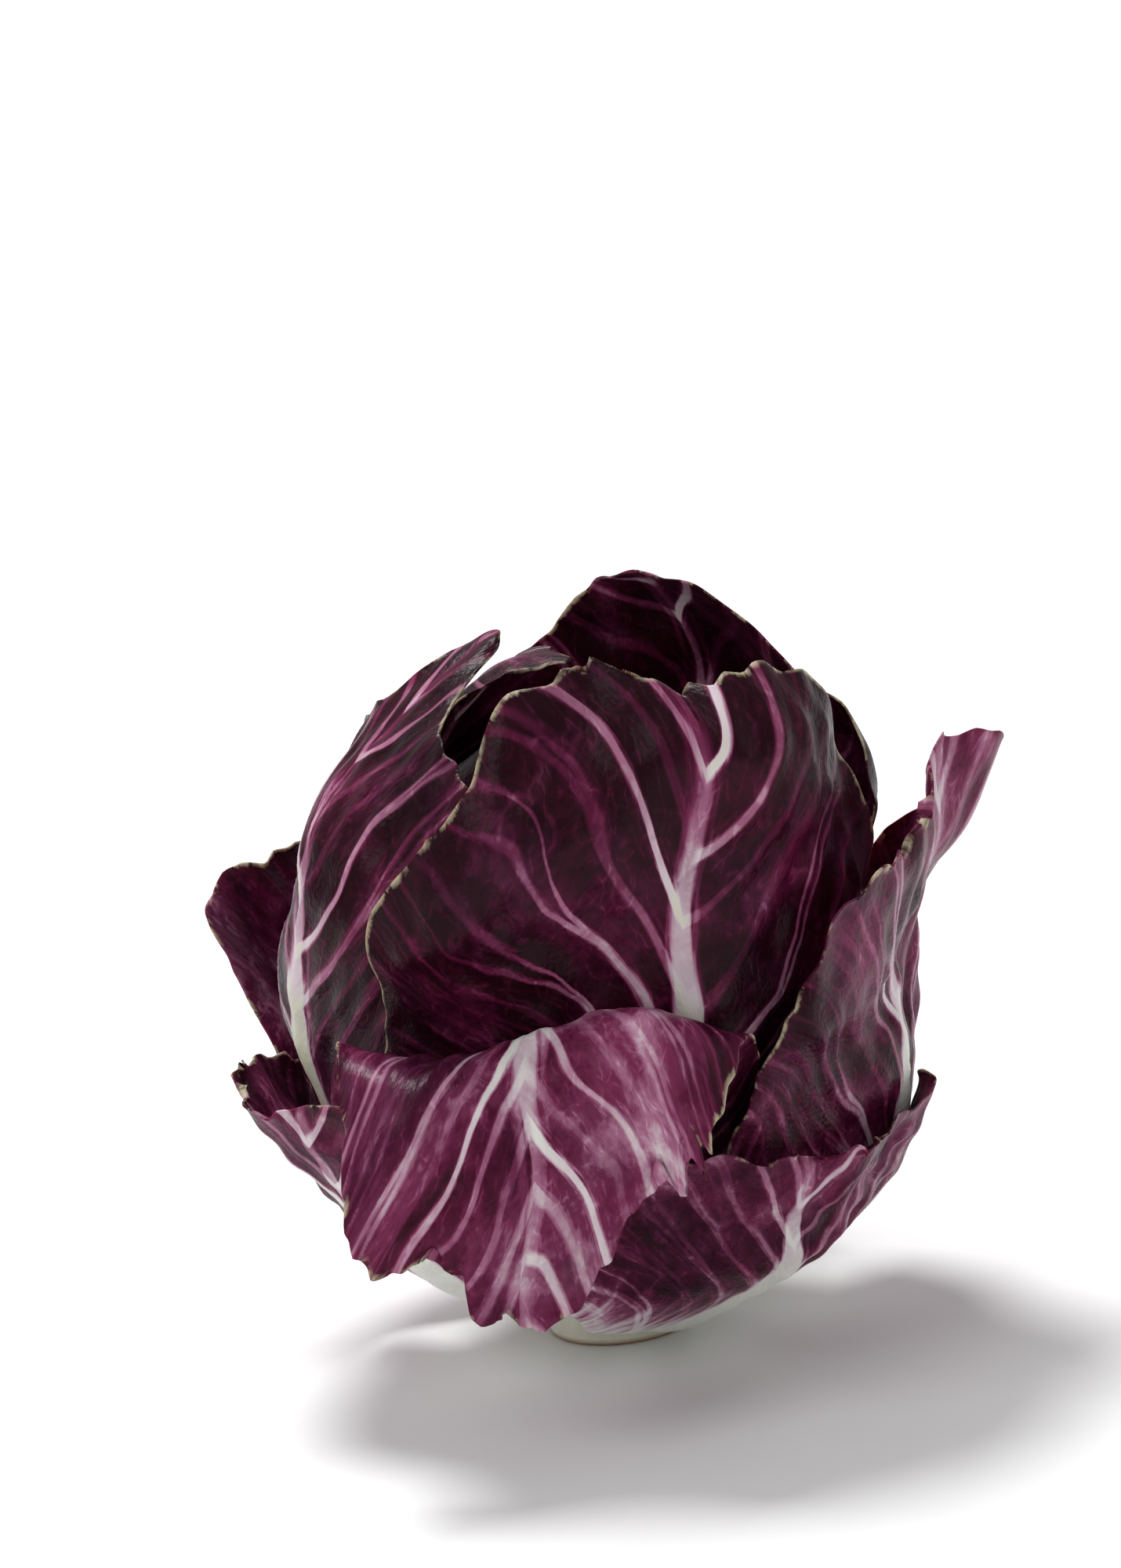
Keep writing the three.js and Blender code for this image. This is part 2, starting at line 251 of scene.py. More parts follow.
LAYER_RADIUS = 19.6  # of the innermost leaf, round the head's centre
LAYER_SPACING = 1.86
OUTERMOST_LAYER = 23.4
HALF_FOOT = 8.5
FOOT_CLEARANCE = 1.0
FOOT_SINK = 2.2  # into the stem, which the leaf grows from
HALF_BLADE = 0.36  # of its thickness
FLARE_BETWEEN = (80, 150)  # degrees from straight below
FOLD_SPREAD = 0.6  # of how far inside the rib a point lies, added to the fold's radius
LOWEST = 0.8  # of a blade's middle, where it lies on the table
SETTLE_SOFTNESS = 1.1  # the height over which a low blade eases down to that
ABOVE_TABLE = 0.05  # of a leaf's lowest point
TIP_HALF_WIDTH = 0.22  # of the leaf's half width

# Waves along a margin: how many to a turn round the leaf, and their size.
LOBES = ((4, 0.03), (9, 0.025))
RUFFLES = ((6.3, 1.0), (11.2, 0.5))
FINE_RUFFLES = ((19, 0.5), (31, 0.3))
MARGIN_KNOTS = 150  # places round a margin where the depth of its bites is drawn

# Shorter bends on top of the slow ones, which crumple the outer leaves alike.
CRUMPLED_BETWEEN = (30, 46)  # from the head's centre
CRUMPLES = (
    (0, (0, 0.9, 0.4), 1.4, 6.4, 0.9),
    (0, (0, -0.5, 0.9), 1.4, 7.1, 2.4),
    (1, (0.9, 0, 0.5), 1.4, 6.8, 4.4),
    (1, (-0.4, 0, 0.9), 1.4, 6.1, 1.7),
    (2, (0.9, 0.3, 0), 1.4, 7.3, 3.1),
    (2, (-0.4, 0.9, 0), 1.4, 6.6, 5.6),
)

# Side ribs, on a leaf of the full half width. A narrower leaf has them closer together.
FULL_HALF_WIDTH = 57
RIB_SPACING = 11.5
RIB_RISE = 1.5  # up the leaf for each mm away from the midrib
RIB_BOW = 0.0105  # half of what they lose of that rise with each mm
RIB_STAGGER = 0.25  # of the spacing, up on one half of the leaf and down on the other
RIB_JOIN = 5  # the width over which they come together at the midrib
RIB_WANDER = 0.3  # of the spacing
RIB_WAVE = 40  # the length of that wander
WIDEST_GAP = 1.6  # times the spacing
FORKED_BETWEEN = (9, 36)  # away from the midrib
FORK = 0.45  # of the spacing
MOST_RANKS = 30  # counted up from the foot, and as many down, for ribs that bow from there
LEAST_VIGOUR = 0.2

# How a blade swells and sinks: a rib's two half widths are the one where it starts and the
# one where it ends.
MIDRIB_HALF_WIDTH = (0.75 * HALF_FOOT, 1.6)
SIDE_RIB_HALF_WIDTH = (1.3, 0.7)
HOLLOW_FROM_MIDRIB = 7
HOLLOW_FROM_RIB = 3
HOLLOW_FROM_FORK = 2.5
CRINKLE_WAVE = 9
SLOW_WAVE = 26

PATTERN_STEP = 37  # between the patterns of one leaf and the next

CLOSED_COUNT = 11
FIRST_BEARING = 140
GOLDEN_ANGLE = 137.508
CLOSED_TIP_ANGLE = (196, 170)
CLOSED_TIP_VARIES = 6
CLOSED_HALF_WIDTH = (84, 78)


def leaf_on_layer(name, number, bearing, tip_angle, half_width, **more):
    """A leaf's sizes: angles in degrees from straight below, round the head's centre."""
    radius = LAYER_RADIUS + LAYER_SPACING * number
    size = radius * math.radians(half_width) / FULL_HALF_WIDTH
    foot_radius = mix(TOP_RADIUS, CUT_RADIUS, number / OUTERMOST_LAYER) + FOOT_CLEARANCE
    foot_angle = math.asin(foot_radius / radius)
    leaf = SimpleNamespace(
        name=name, number=number, bearing=math.radians(bearing), radius=radius,
        foot_radius=foot_radius, foot_angle=foot_angle,
        length=radius * (math.radians(tip_angle) - foot_angle),
        half_width=radius * math.radians(half_width), phase=number * 2.1,
        rib_spacing=RIB_SPACING * mix(0.6, 1, size) * size ** 0.5,
        flare=0, lip=0, point=2, ruffle=0.2, fold=None, rib=1.7, torn=0.5, slack=0)
    vars(leaf).update(more)
    return leaf


def edge(u, w):
    """0 over most of the leaf and at its foot, 1 along its margin."""
    return (1 - (1 - np.abs(u) ** 4) * (1 - np.maximum(0, w) ** 4)) * ease(-1, -0.3, w)


def torn_margin(leaf, turn):
    """How far the margin is bitten back, in mm: a little all round, and more in patches."""
    rng = np.random.default_rng(int(leaf.number * 10))
    knots = np.linspace(-math.pi, math.pi, MARGIN_KNOTS)
    fine = np.interp(turn, knots, rng.random(MARGIN_KNOTS))
    patch = np.interp(turn, knots[::10], rng.random(MARGIN_KNOTS // 10))
    return leaf.torn * fine * (0.8 + 2.8 * ease(0.45, 0.85, patch))


def flat_place(leaf, u, w):
    """The leaf laid flat, in mm: u across it from -1 to 1, w from its foot at -1 to its top."""
    foot = HALF_FOOT / (leaf.half_width * math.sqrt(0.5))
    spread = mix(foot, 1, ease(-1, -0.15, w))
    x = u * np.sqrt(1 - w * w / 2) * spread
    y = w * np.sqrt(1 - ease(-1, 0, w) * u * u / 2)
    turn = np.arctan2(x, y + 0.2)
    margin = edge(u, w)
    lobes = 1 + margin * sum(size * np.sin(waves * turn + leaf.phase) for waves, size in LOBES)
    lobes -= margin ** 5 * torn_margin(leaf, turn) / leaf.half_width
    tip = leaf.point * np.exp(-((x / TIP_HALF_WIDTH) ** 2)) * ease(0.2, 1, y)
    return leaf.half_width * x * lobes, leaf.length / 2 * (1 + y * lobes) + tip


def ruffle(leaf, u, w):
    turn = np.arctan2(u, w + 0.2)
    wave = sum(size * np.sin(waves * (turn + leaf.phase)) for waves, size in RUFFLES)
    fine = sum(size * np.sin(waves * turn + leaf.phase) for waves, size in FINE_RUFFLES)
    margin = edge(u, w) * mix(0.35, 1, ease(-0.2, 0.8, w))
    return leaf.ruffle * (margin * wave + 0.5 * margin ** 3 * fine)


def fold_out(leaf, out, side, up):
    """Turns what is above the fold outwards, round a line that slants by the fold's tilt and
    droops towards both sides of the leaf by its arch."""
    fold = leaf.fold
    cos, sin = math.cos(math.radians(fold.tilt)), math.sin(math.radians(fold.tilt))
    along = side * cos + (up - fold.height) * sin
    line = -fold.arch * along ** 2
    above = (up - fold.height) * cos - side * sin - line
    rib_out = math.sqrt(leaf.radius ** 2 - max(0, CENTRE_HEIGHT - fold.height) ** 2)
    turned = np.clip(above / fold.radius, 0, math.radians(fold.angle))
    beyond = above - turned * fold.radius
    arm = fold.radius + FOLD_SPREAD * (rib_out - out)
    rise = line + arm * np.sin(turned) + beyond * np.cos(turned)
    folded = (
        out + arm * (1 - np.cos(turned)) + beyond * np.sin(turned),
        along * cos - rise * sin,
        fold.height + along * sin + rise * cos,
    )
    return [np.where(above > 0, new, old) for new, old in zip(folded, (out, side, up))]


def leaf_sheet(leaf, u, w):
    """Where the middle of the blade's thickness runs on the head."""
    # On the ball: out towards the leaf's bearing, to its side, and up.
    x, y = flat_place(leaf, u, w)
    middle = leaf.foot_angle + leaf.length / 2 / leaf.radius
    y = y - leaf.length / 2
    away = np.maximum(np.hypot(x, y), 1e-9)
    arc = away / leaf.radius
    across = np.sin(arc) * x / away
    upward = np.sin(arc) * y / away
    out = np.cos(arc) * math.sin(middle) + upward * math.cos(middle)
    up = -np.cos(arc) * math.cos(middle) + upward * math.sin(middle)
    height = np.degrees(np.arccos(np.clip(-up, -1, 1)))
    off_layer = leaf.flare * ease(*FLARE_BETWEEN, height) + leaf.lip * ease(0.6, 1, w)
    r = leaf.radius + off_layer + ruffle(leaf, u, w)
    out, side = r * out, r * across
    up = CENTRE_HEIGHT + r * up * np.where(up > 0, UPPER_STRETCH, 1)
    if leaf.fold:
        out, side, up = fold_out(leaf, out, side, up)

    # The foot clasps the stem and is sunk into it. What would be too low lies on the table.
    clasp = 1 - ease(-1, -0.7, w)
    wrap = side / leaf.foot_radius
    out = mix(out, out * np.cos(wrap), clasp) - FOOT_SINK * (1 - ease(-1, -0.88, w))
    side = mix(side, leaf.foot_radius * np.sin(wrap), clasp)
    above = up - LOWEST
    up = LOWEST + (above + np.hypot(above, 2 * SETTLE_SOFTNESS)) / 2

    turned_out = out * math.cos(leaf.bearing) - side * math.sin(leaf.bearing)
    turned_side = out * math.sin(leaf.bearing) + side * math.cos(leaf.bearing)
    placed = np.column_stack((turned_out, turned_side, up))
    from_centre = np.linalg.norm(placed - (0, 0, CENTRE_HEIGHT), axis=1)
    return bend(bend(placed), CRUMPLES, ease(*CRUMPLED_BETWEEN, from_centre))


def sheet_normal(leaf, u, w):
    step = 1e-3
    across = leaf_sheet(leaf, u + step, w) - leaf_sheet(leaf, u - step, w)
    up = leaf_sheet(leaf, u, w + step) - leaf_sheet(leaf, u, w - step)
    normal = np.cross(across, up)
    return normal / np.linalg.norm(normal, axis=1)[:, None]


def gentle_waves(leaf, x, y, wave, seed):
    """Soft unevenness, mostly from -1 to 1, as a sum of waves in all directions."""
    rng = np.random.default_rng(seed + int(leaf.number * 10))
    total = np.zeros_like(x)
    for direction in rng.uniform(0, 2 * math.pi, 7):
        run = (x * math.cos(direction) + y * math.sin(direction)) / wave * rng.uniform(0.7, 1.5)
        total += np.sin(2 * math.pi * run + rng.uniform(0, 2 * math.pi))
    return total / 3.5


def side_rib_rank(leaf, x, y):
    """Counts the side ribs up the leaf: a rib runs where the rank is whole."""
    size = leaf.half_width / FULL_HALF_WIDTH
    away = np.abs(x)
    bow = RIB_RISE * away - RIB_BOW / size * away ** 2
    stagger = RIB_STAGGER * leaf.rib_spacing * np.tanh(x / RIB_JOIN)
    wander = RIB_WANDER * leaf.rib_spacing * gentle_waves(leaf, x, y, RIB_WAVE * size, 5)
    return (y - bow + stagger + wander) / leaf.rib_spacing


def side_ribs(leaf, x, y):
    """The rank of each place, the mm from one side rib to the next, and each rib's vigour."""
    rank = side_rib_rank(leaf, x, y)
    step = 0.01
    across = side_rib_rank(leaf, x + step, y) - rank
    up = side_rib_rank(leaf, x, y + step) - rank
    gap = np.minimum(step / np.hypot(across, up), WIDEST_GAP * leaf.rib_spacing)
    rng = np.random.default_rng(int(leaf.number * 10))
    strengths = mix(LEAST_VIGOUR, 1, rng.random((2, 2 * MOST_RANKS)) ** 1.3)
    vigour = strengths[(x > 0).astype(int), np.round(rank).astype(int) + MOST_RANKS]
    return rank, gap, vigour


def ridge(distance, half_width):
    """1 on a line, and nearly 0 from twice the half width away."""
    return np.exp(-((distance / half_width) ** 2))


def relief(leaf, at):
    """How far a face stands off the sheet, in mm: half the blade's thickness and the ribs,
    less the hollows between them, with crinkles and slow waves where the leaf is slack."""
    fork = at.rank - FORK * ease(*FORKED_BETWEEN, np.abs(at.x))
    near = np.abs(at.rank - np.round(at.rank)) * at.gap
    near_fork = np.abs(fork - np.round(fork)) * at.gap
    far_out = ease(0, leaf.half_width, np.abs(at.x))
    free = ease(0.3, 0.75, at.share)
    slack = leaf.slack * free

    blade = HALF_BLADE * mix(0.5, 1, ease(0, 2.5, at.margin))
    midrib = ridge(at.x, mix(*MIDRIB_HALF_WIDTH, ease(0, 0.7, at.share)))
    midrib *= leaf.rib * (1 - ease(0.05, 0.95, at.share))
    side_rib = ridge(np.minimum(near, near_fork), mix(*SIDE_RIB_HALF_WIDTH, far_out))
    side_rib *= (1 - 0.7 * far_out) * ease(0.5, 7, at.margin) * (1 - ease(0.6, 1, at.share))
    side_rib *= at.vigour * mix(0.15, 1, free)
    outer_face = blade + midrib + 0.8 * side_rib
    inner_face = -blade - 0.4 * midrib - 0.35 * side_rib

    hollow = (1 - ridge(near, HOLLOW_FROM_RIB)) * (1 - ridge(near_fork, HOLLOW_FROM_FORK))
    hollow *= 1 - ridge(at.x, HOLLOW_FROM_MIDRIB)
    hollow *= ease(0, 6, at.margin)
    crinkle = gentle_waves(leaf, at.x, at.y, CRINKLE_WAVE, 1) * ease(0.1, 0.4, at.share)
    slow_wave = slack * gentle_waves(leaf, at.x, at.y, SLOW_WAVE, 2)
    sink = (0.2 + 1.1 * slack) * hollow + (0.08 + 0.4 * slack) * crinkle - slow_wave
    return np.where(at.outer > 0.5, outer_face, inner_face) - sink


def leaf_blank(columns, rows):
    """A square slab, one unit thick, with its two faces and its rim cut to a fine grid."""
    bm = bmesh.new()
    bmesh.ops.create_grid(bm, x_segments=columns, y_segments=rows, size=1)
    top = bmesh.ops.extrude_face_region(bm, geom=bm.faces[:], use_keep_orig=True)["geom"]
    top_points = [v for v in top if isinstance(v, bmesh.types.BMVert)]
    bmesh.ops.translate(bm, vec=(0, 0, 1), verts=top_points)
    bmesh.ops.recalc_face_normals(bm, faces=bm.faces)
    blank = bpy.data.meshes.new("leaf_blank")
    bm.to_mesh(blank)
    bm.free()
    return blank


def set_attribute(mesh, name, *columns):
    attribute = mesh.attributes.new(name, "FLOAT_VECTOR", "POINT")
    attribute.data.foreach_set("vector", np.column_stack(columns).ravel().astype(np.float32))


def distance_to_margin(x, y, on_margin):
    margin = np.column_stack((x, y))[on_margin]
    distance = np.full(len(x), np.inf)
    for px, py in margin:
        distance = np.minimum(distance, (x - px) ** 2 + (y - py) ** 2)
    return np.sqrt(distance)


def grow_leaf(leaf, blank, material):
    """Lays a blank on its layer of the head, and gives it its ribs and its hollows."""
    mesh = blank.copy()
    mesh.name = leaf.name
    u, w, outer = points_of(mesh).T
    x, y = flat_place(leaf, u, w)
    on_margin = ((np.abs(u) > 0.9999) | (w > 0.9999)) & (outer > 0.5)
    rank, gap, vigour = side_ribs(leaf, x, y)
    at = SimpleNamespace(
        x=x, y=y, share=np.clip(y / leaf.length, 0, 1), outer=outer,
        margin=distance_to_margin(x, y, on_margin), rank=rank, gap=gap, vigour=vigour)
    lift = relief(leaf, at)
    points = leaf_sheet(leaf, u, w) + sheet_normal(leaf, u, w) * lift[:, None]
    points[:, 2] = np.maximum(points[:, 2], ABOVE_TABLE)
    place_points(mesh, points)

    set_attribute(mesh, "flat", x, y, np.full(len(x), PATTERN_STEP * leaf.number))
    set_attribute(mesh, "ribs", rank, gap, np.abs(x))
    set_attribute(mesh, "place", at.share, at.margin, outer)
    mesh.attributes.new("vigour", "FLOAT", "POINT").data.foreach_set("value", vigour)
    return add_piece(f"{leaf.name}_blade", mesh, material, leaf.name)


def leaf_places(tree):
    """Where a point is on its leaf, from the leaf's own attributes. Lengths are in mm."""
    flat = add(tree, "Attribute", out="Vector", attribute_name="flat")
    ribs = add(tree, "SeparateXYZ", {0: add(
        tree, "Attribute", out="Vector", attribute_name="ribs")}).node
    place = add(tree, "SeparateXYZ", {0: add(
        tree, "Attribute", out="Vector", attribute_name="place")}).node
    return SimpleNamespace(
        flat=flat, seed=add(tree, "SeparateXYZ", {0: flat}, out=2),
        rank=ribs.outputs[0], gap=ribs.outputs[1], from_rib=ribs.outputs[2],
        share=place.outputs[0], margin=place.outputs[1], outer=place.outputs[2],
        vigour=add(tree, "Attribute", out="Fac", attribute_name="vigour"))


def leaf_grain(tree, at):
    """Fibres along the side ribs and along the midrib, broad patches, clouds, and a mottle."""
    lane = add(tree, "Math", {0: at.rank, 1: 7.0}, operation="MULTIPLY")
    run = add(tree, "Math", {0: at.from_rib, 1: 0.14}, operation="MULTIPLY")
    side_way = add(tree, "CombineXYZ", {0: lane, 1: run, 2: at.seed})
    side_fibres = add(tree, "TexNoise", {
        "Vector": side_way, "Scale": 1 / 1.9, "Detail": 4, "Roughness": 0.65,
        "Distortion": 0.5})
    streak = add(tree, "MapRange", {
        "Value": side_fibres, "From Min": 0.46, "From Max": 0.74},
        interpolation_type="SMOOTHSTEP")
    long_way = add(tree, "VectorMath", {0: at.flat, 1: (1, 0.1, 1)}, operation="MULTIPLY")
    long_fibres = add(tree, "TexNoise", {"Vector": long_way, "Scale": 1 / 1.8, "Detail": 3})
    patches = add(tree, "TexNoise", {
        "Vector": at.flat, "Scale": 1 / 26, "Detail": 4, "Roughness": 0.6,
        "Distortion": 0.9})
    clouds = add(tree, "TexNoise", {
        "Vector": at.flat, "Scale": 1 / 5, "Detail": 4, "Roughness": 0.68,
        "Distortion": 1.2})
    mottle = add(tree, "TexNoise", {"Vector": at.flat, "Scale": 1 / 0.9, "Detail": 2})
    return SimpleNamespace(
        lane=lane, side_fibres=side_fibres, streak=streak, long_fibres=long_fibres,
        patches=patches, clouds=clouds, mottle=mottle)


def midrib_white(tree, at, grain, rib_half):
    """White flesh along the midrib: full over its back, with fibres fraying out of its edge."""
    half = add(tree, "MapRange", {
        "Value": at.share, "From Min": 0, "From Max": 0.85, "To Min": rib_half,
        "To Max": 0.15})
    fray = add(tree, "MapRange", {
        "Value": grain.long_fibres, "From Min": 0.35, "From Max": 0.7, "To Min": 0.5,
        "To Max": 5})
    end = add(tree, "Math", {0: half, 1: fray}, operation="ADD")
    white = add(tree, "MapRange", {
        "Value": at.from_rib, "From Min": half, "From Max": end, "To Min": 1, "To Max": 0},
        interpolation_type="SMOOTHSTEP")
    fade = add(tree, "MapRange", {
        "Value": at.share, "From Min": 0.55, "From Max": 1, "To Min": 1, "To Max": 0.35})
    return add(tree, "Math", {0: white, 1: fade}, operation="MULTIPLY")


def side_rib_distance(tree, at):
    """How far it is to the nearest side rib or fork, which drift a little in the skin."""
    drift = add(tree, "TexNoise", {"Vector": at.flat, "Scale": 1 / 8, "Detail": 1})
    drift = add(tree, "Math", {0: drift, 1: 0.24, 2: -0.12}, operation="MULTIPLY_ADD")
    rib_line = add(tree, "Math", {0: at.rank, 1: drift}, operation="ADD")
    fork = add(tree, "MapRange", {
        "Value": at.from_rib, "From Min": FORKED_BETWEEN[0], "From Max": FORKED_BETWEEN[1],
        "To Min": 0, "To Max": -FORK}, interpolation_type="SMOOTHSTEP")
    fork_line = add(tree, "Math", {0: rib_line, 1: fork}, operation="ADD")
    to_rib = add(tree, "Math", {0: rib_line, 1: 0.5}, operation="PINGPONG")
    to_fork = add(tree, "Math", {0: fork_line, 1: 0.5}, operation="PINGPONG")
    nearer = add(tree, "Math", {0: to_rib, 1: to_fork}, operation="MINIMUM")
    return add(tree, "Math", {0: nearer, 1: at.gap}, operation="MULTIPLY")


def side_rib_white(tree, at, grain, distance):
    """Side ribs: narrow lines that thin out and break up on their way to the margin."""
    half = add(tree, "MapRange", {
        "Value": at.from_rib, "From Min": 0, "From Max": 34, "To Min": 0.42, "To Max": 0.03})
    fray = add(tree, "MapRange", {
        "Value": grain.side_fibres, "From Min": 0.38, "From Max": 0.72, "To Min": 0.3,
        "To Max": 1.7})
    end = add(tree, "Math", {0: half, 1: fray}, operation="ADD")
    white = add(tree, "MapRange", {
        "Value": distance, "From Min": half, "From Max": end, "To Min": 1, "To Max": 0},
        interpolation_type="SMOOTHSTEP")
    fade = add(tree, "MapRange", {
        "Value": at.from_rib, "From Min": 3, "From Max": 40, "To Min": 0.95, "To Max": 0.22})
    fade = add(tree, "Math", {0: fade, 1: at.vigour}, operation="MULTIPLY")
    return add(tree, "Math", {0: white, 1: fade}, operation="MULTIPLY")


def flush_by_ribs(tree, at, grain, distance):
    """Flushes of thin skin beside the side ribs, in streaks that run with the fibres."""
    reach = add(tree, "MapRange", {
        "Value": grain.patches, "From Min": 0.35, "From Max": 0.65, "To Min": 1.5,
        "To Max": 7})
    flush = add(tree, "MapRange", {
        "Value": distance, "From Min": 0, "From Max": reach, "To Min": 0.8, "To Max": 0},
        interpolation_type="SMOOTHSTEP")
    fade = add(tree, "MapRange", {
        "Value": at.share, "From Min": 0.25, "From Max": 0.85, "To Min": 1.1, "To Max": 0.3})
    flush = add(tree, "Math", {0: flush, 1: fade}, operation="MULTIPLY")
    return add(tree, "Math", {0: flush, 1: grain.streak}, operation="MULTIPLY")


def fan_above_foot(tree, at, grain, reach):
    """The white fan above the foot, which the long fibres fray out into the skin."""
    place = add(tree, "Math", {0: grain.long_fibres, 1: 0.6, 2: at.share},
                operation="MULTIPLY_ADD")
    return add(tree, "MapRange", {
        "Value": place, "From Min": 0.16 + 0.4 * reach, "From Max": 0.32 + reach,
        "To Min": 1, "To Max": 0}, interpolation_type="SMOOTHSTEP")


def smallest_veins(tree, at, grain):
    """The net of the smallest veins, drawn 3.4 mm wide so that it shows. It comes and goes."""
    place = add(tree, "CombineXYZ", {0: grain.lane, 1: at.from_rib, 2: at.seed})
    shake = add(tree, "TexNoise", {"Vector": at.flat, "Scale": 1 / 3.5, "Detail": 1},
                out="Color")
    place = add(tree, "VectorMath", {0: shake, 1: (4, 4, 0), 2: place},
                operation="MULTIPLY_ADD")
    net = add(tree, "TexVoronoi", {"Vector": place, "Scale": 1 / 3.4, "Randomness": 1},
              feature="DISTANCE_TO_EDGE")
    white = add(tree, "MapRange", {
        "Value": net, "From Min": 0, "From Max": 0.11, "To Min": 1, "To Max": 0},
        interpolation_type="SMOOTHSTEP")
    strength = add(tree, "MapRange", {
        "Value": grain.clouds, "From Min": 0.42, "From Max": 0.68, "To Min": 0,
        "To Max": 0.26})
    return add(tree, "Math", {0: white, 1: strength}, operation="MULTIPLY")


def skin_colour(tree, at, grain, skin, flesh):
    """From bare flesh at 0, through pink and wine red, to nearly black at 1, a little cooler
    in broad areas, with a pale bruised line where the margin was torn."""
    tones = []
    for stops in (
        (flesh, "#d2c4ca", "#a46a87", "#752c4e", "#541432", "#380b1e", "#230610"),
        (flesh, "#d0c5ca", "#98697f", "#632a48", "#46162f", "#300c1d", "#1e0610"),
    ):
        tone = add(tree, "ValToRGB", {0: skin})
        ramp = tone.node.color_ramp
        ramp.elements[0].color = colour(stops[0])
        ramp.elements[1].color = colour(stops[-1])
        for place_on_ramp, stop in zip((0.13, 0.32, 0.5, 0.68, 0.85), stops[1:-1]):
            ramp.elements.new(place_on_ramp).color = colour(stop)
        tones.append(tone)
    cool = add(tree, "TexNoise", {"Vector": at.flat, "Scale": 1 / 17, "Detail": 3})
    cool = add(tree, "MapRange", {"Value": cool, "From Min": 0.42, "From Max": 0.66})
    whole = add(tree, "Mix", {0: cool, 6: tones[0], 7: tones[1]}, out=2, data_type="RGBA")

    torn = add(tree, "Math", {0: grain.patches, 1: grain.clouds}, operation="ADD")
    torn = add(tree, "MapRange", {
        "Value": torn, "From Min": 1.0, "From Max": 1.14, "To Min": 0, "To Max": 0.75})
    reach = add(tree, "MapRange", {
        "Value": grain.clouds, "From Min": 0.4, "From Max": 0.62, "To Min": 0.2,
        "To Max": 0.8})
    bruise = add(tree, "MapRange", {
        "Value": at.margin, "From Min": 0.05, "From Max": reach, "To Min": torn,
        "To Max": 0})
    return add(tree, "Mix", {0: bruise, 6: whole, 7: colour("#c4bb9c")}, out=2,
               data_type="RGBA")


def leaf_tissue(name, pigment, fan_reach, rib_half, flesh):
    """Fresh chicory leaf: pale flesh under a skin of wine-red cells. The skin is deepest
    between the ribs, thins to pink beside them, and leaves ribs and the fan above the foot
    bare. Its wax gives a satin gloss. pigment is the depth of the skin's colour, up to 1,
    fan_reach how far up the leaf the fan goes, rib_half half the midrib's white at the foot,
    in mm, and flesh the colour of what is bare."""
    material, tree = new_tree(name)
    at = leaf_places(tree)
    grain = leaf_grain(tree, at)
    rib_distance = side_rib_distance(tree, at)
    net = smallest_veins(tree, at, grain)
    whites = (
        midrib_white(tree, at, grain, rib_half),
        side_rib_white(tree, at, grain, rib_distance),
        flush_by_ribs(tree, at, grain, rib_distance),
        fan_above_foot(tree, at, grain, fan_reach),
        net,
    )
    skin_left = 1.0
    for white in whites:
        covered = add(tree, "Math", {0: 1.0, 1: white}, operation="SUBTRACT", use_clamp=True)
        skin_left = add(tree, "Math", {0: skin_left, 1: covered}, operation="MULTIPLY")

    # Depth of the skin's colour, from bare white flesh at 0 to nearly black at 1.
    depth = add(tree, "Math", {0: grain.patches, 1: 1.7, 2: pigment - 0.85},
                operation="MULTIPLY_ADD")
    depth = add(tree, "Math", {0: grain.clouds, 1: -0.35, 2: depth},
                operation="MULTIPLY_ADD")
    depth = add(tree, "Math", {0: grain.mottle, 1: -0.16, 2: depth},
                operation="MULTIPLY_ADD")
    depth = add(tree, "Math", {0: at.outer, 1: 0.06, 2: depth}, operation="MULTIPLY_ADD")
    depth = add(tree, "Math", {0: depth, 1: 0.24}, operation="ADD", use_clamp=True)
    skin = add(tree, "Math", {0: depth, 1: skin_left}, operation="MULTIPLY", use_clamp=True)
    skin = add(tree, "Math", {0: grain.streak, 1: 0.05, 2: skin}, operation="MULTIPLY_ADD")
    surface = skin_colour(tree, at, grain, skin, flesh)

    # Finest relief: swollen cells between the smallest veins, and fibres on the ribs.
    cells = add(tree, "TexVoronoi", {"Vector": at.flat, "Scale": 1 / 0.8})
    fine = add(tree, "Math", {0: cells, 1: 0.25, 2: grain.mottle}, operation="MULTIPLY_ADD")
    fine = add(tree, "Math", {0: grain.side_fibres, 1: 1.2, 2: fine},
               operation="MULTIPLY_ADD")
    fine = add(tree, "Math", {0: net, 1: -2.0, 2: fine}, operation="MULTIPLY_ADD")
    bump = add(tree, "Bump", {"Strength": 0.4, "Distance": 0.35 * MM, "Height": fine})
    gloss = add(tree, "MapRange", {
        "Value": grain.clouds, "From Min": 0.3, "From Max": 0.7, "To Min": 0.24,
        "To Max": 0.42})
    shader = add(tree, "BsdfPrincipled", {
        "Base Color": surface, "Roughness": gloss, "Normal": bump, "IOR": 1.4,
        "Specular IOR Level": 0.12, "Subsurface Weight": 0.15, "Subsurface Scale": 1.5 * MM})
    add(tree, "OutputMaterial", {"Surface": shader})
    return material


closed_blank = leaf_blank(columns=70, rows=72)
closed_tissue = leaf_tissue(
    "closed_leaf", pigment=0.66, fan_reach=0.3, rib_half=4.6, flesh="#e0e2d2")
for number in range(CLOSED_COUNT):
    outward = number / (CLOSED_COUNT - 1)
    grow_leaf(
        leaf_on_layer(
            f"leaf_{number + 1:02d}", number, FIRST_BEARING - number * GOLDEN_ANGLE,
            mix(*CLOSED_TIP_ANGLE, outward) + CLOSED_TIP_VARIES * math.sin(number * 2.3),
            mix(*CLOSED_HALF_WIDTH, outward)),
        closed_blank, closed_tissue)


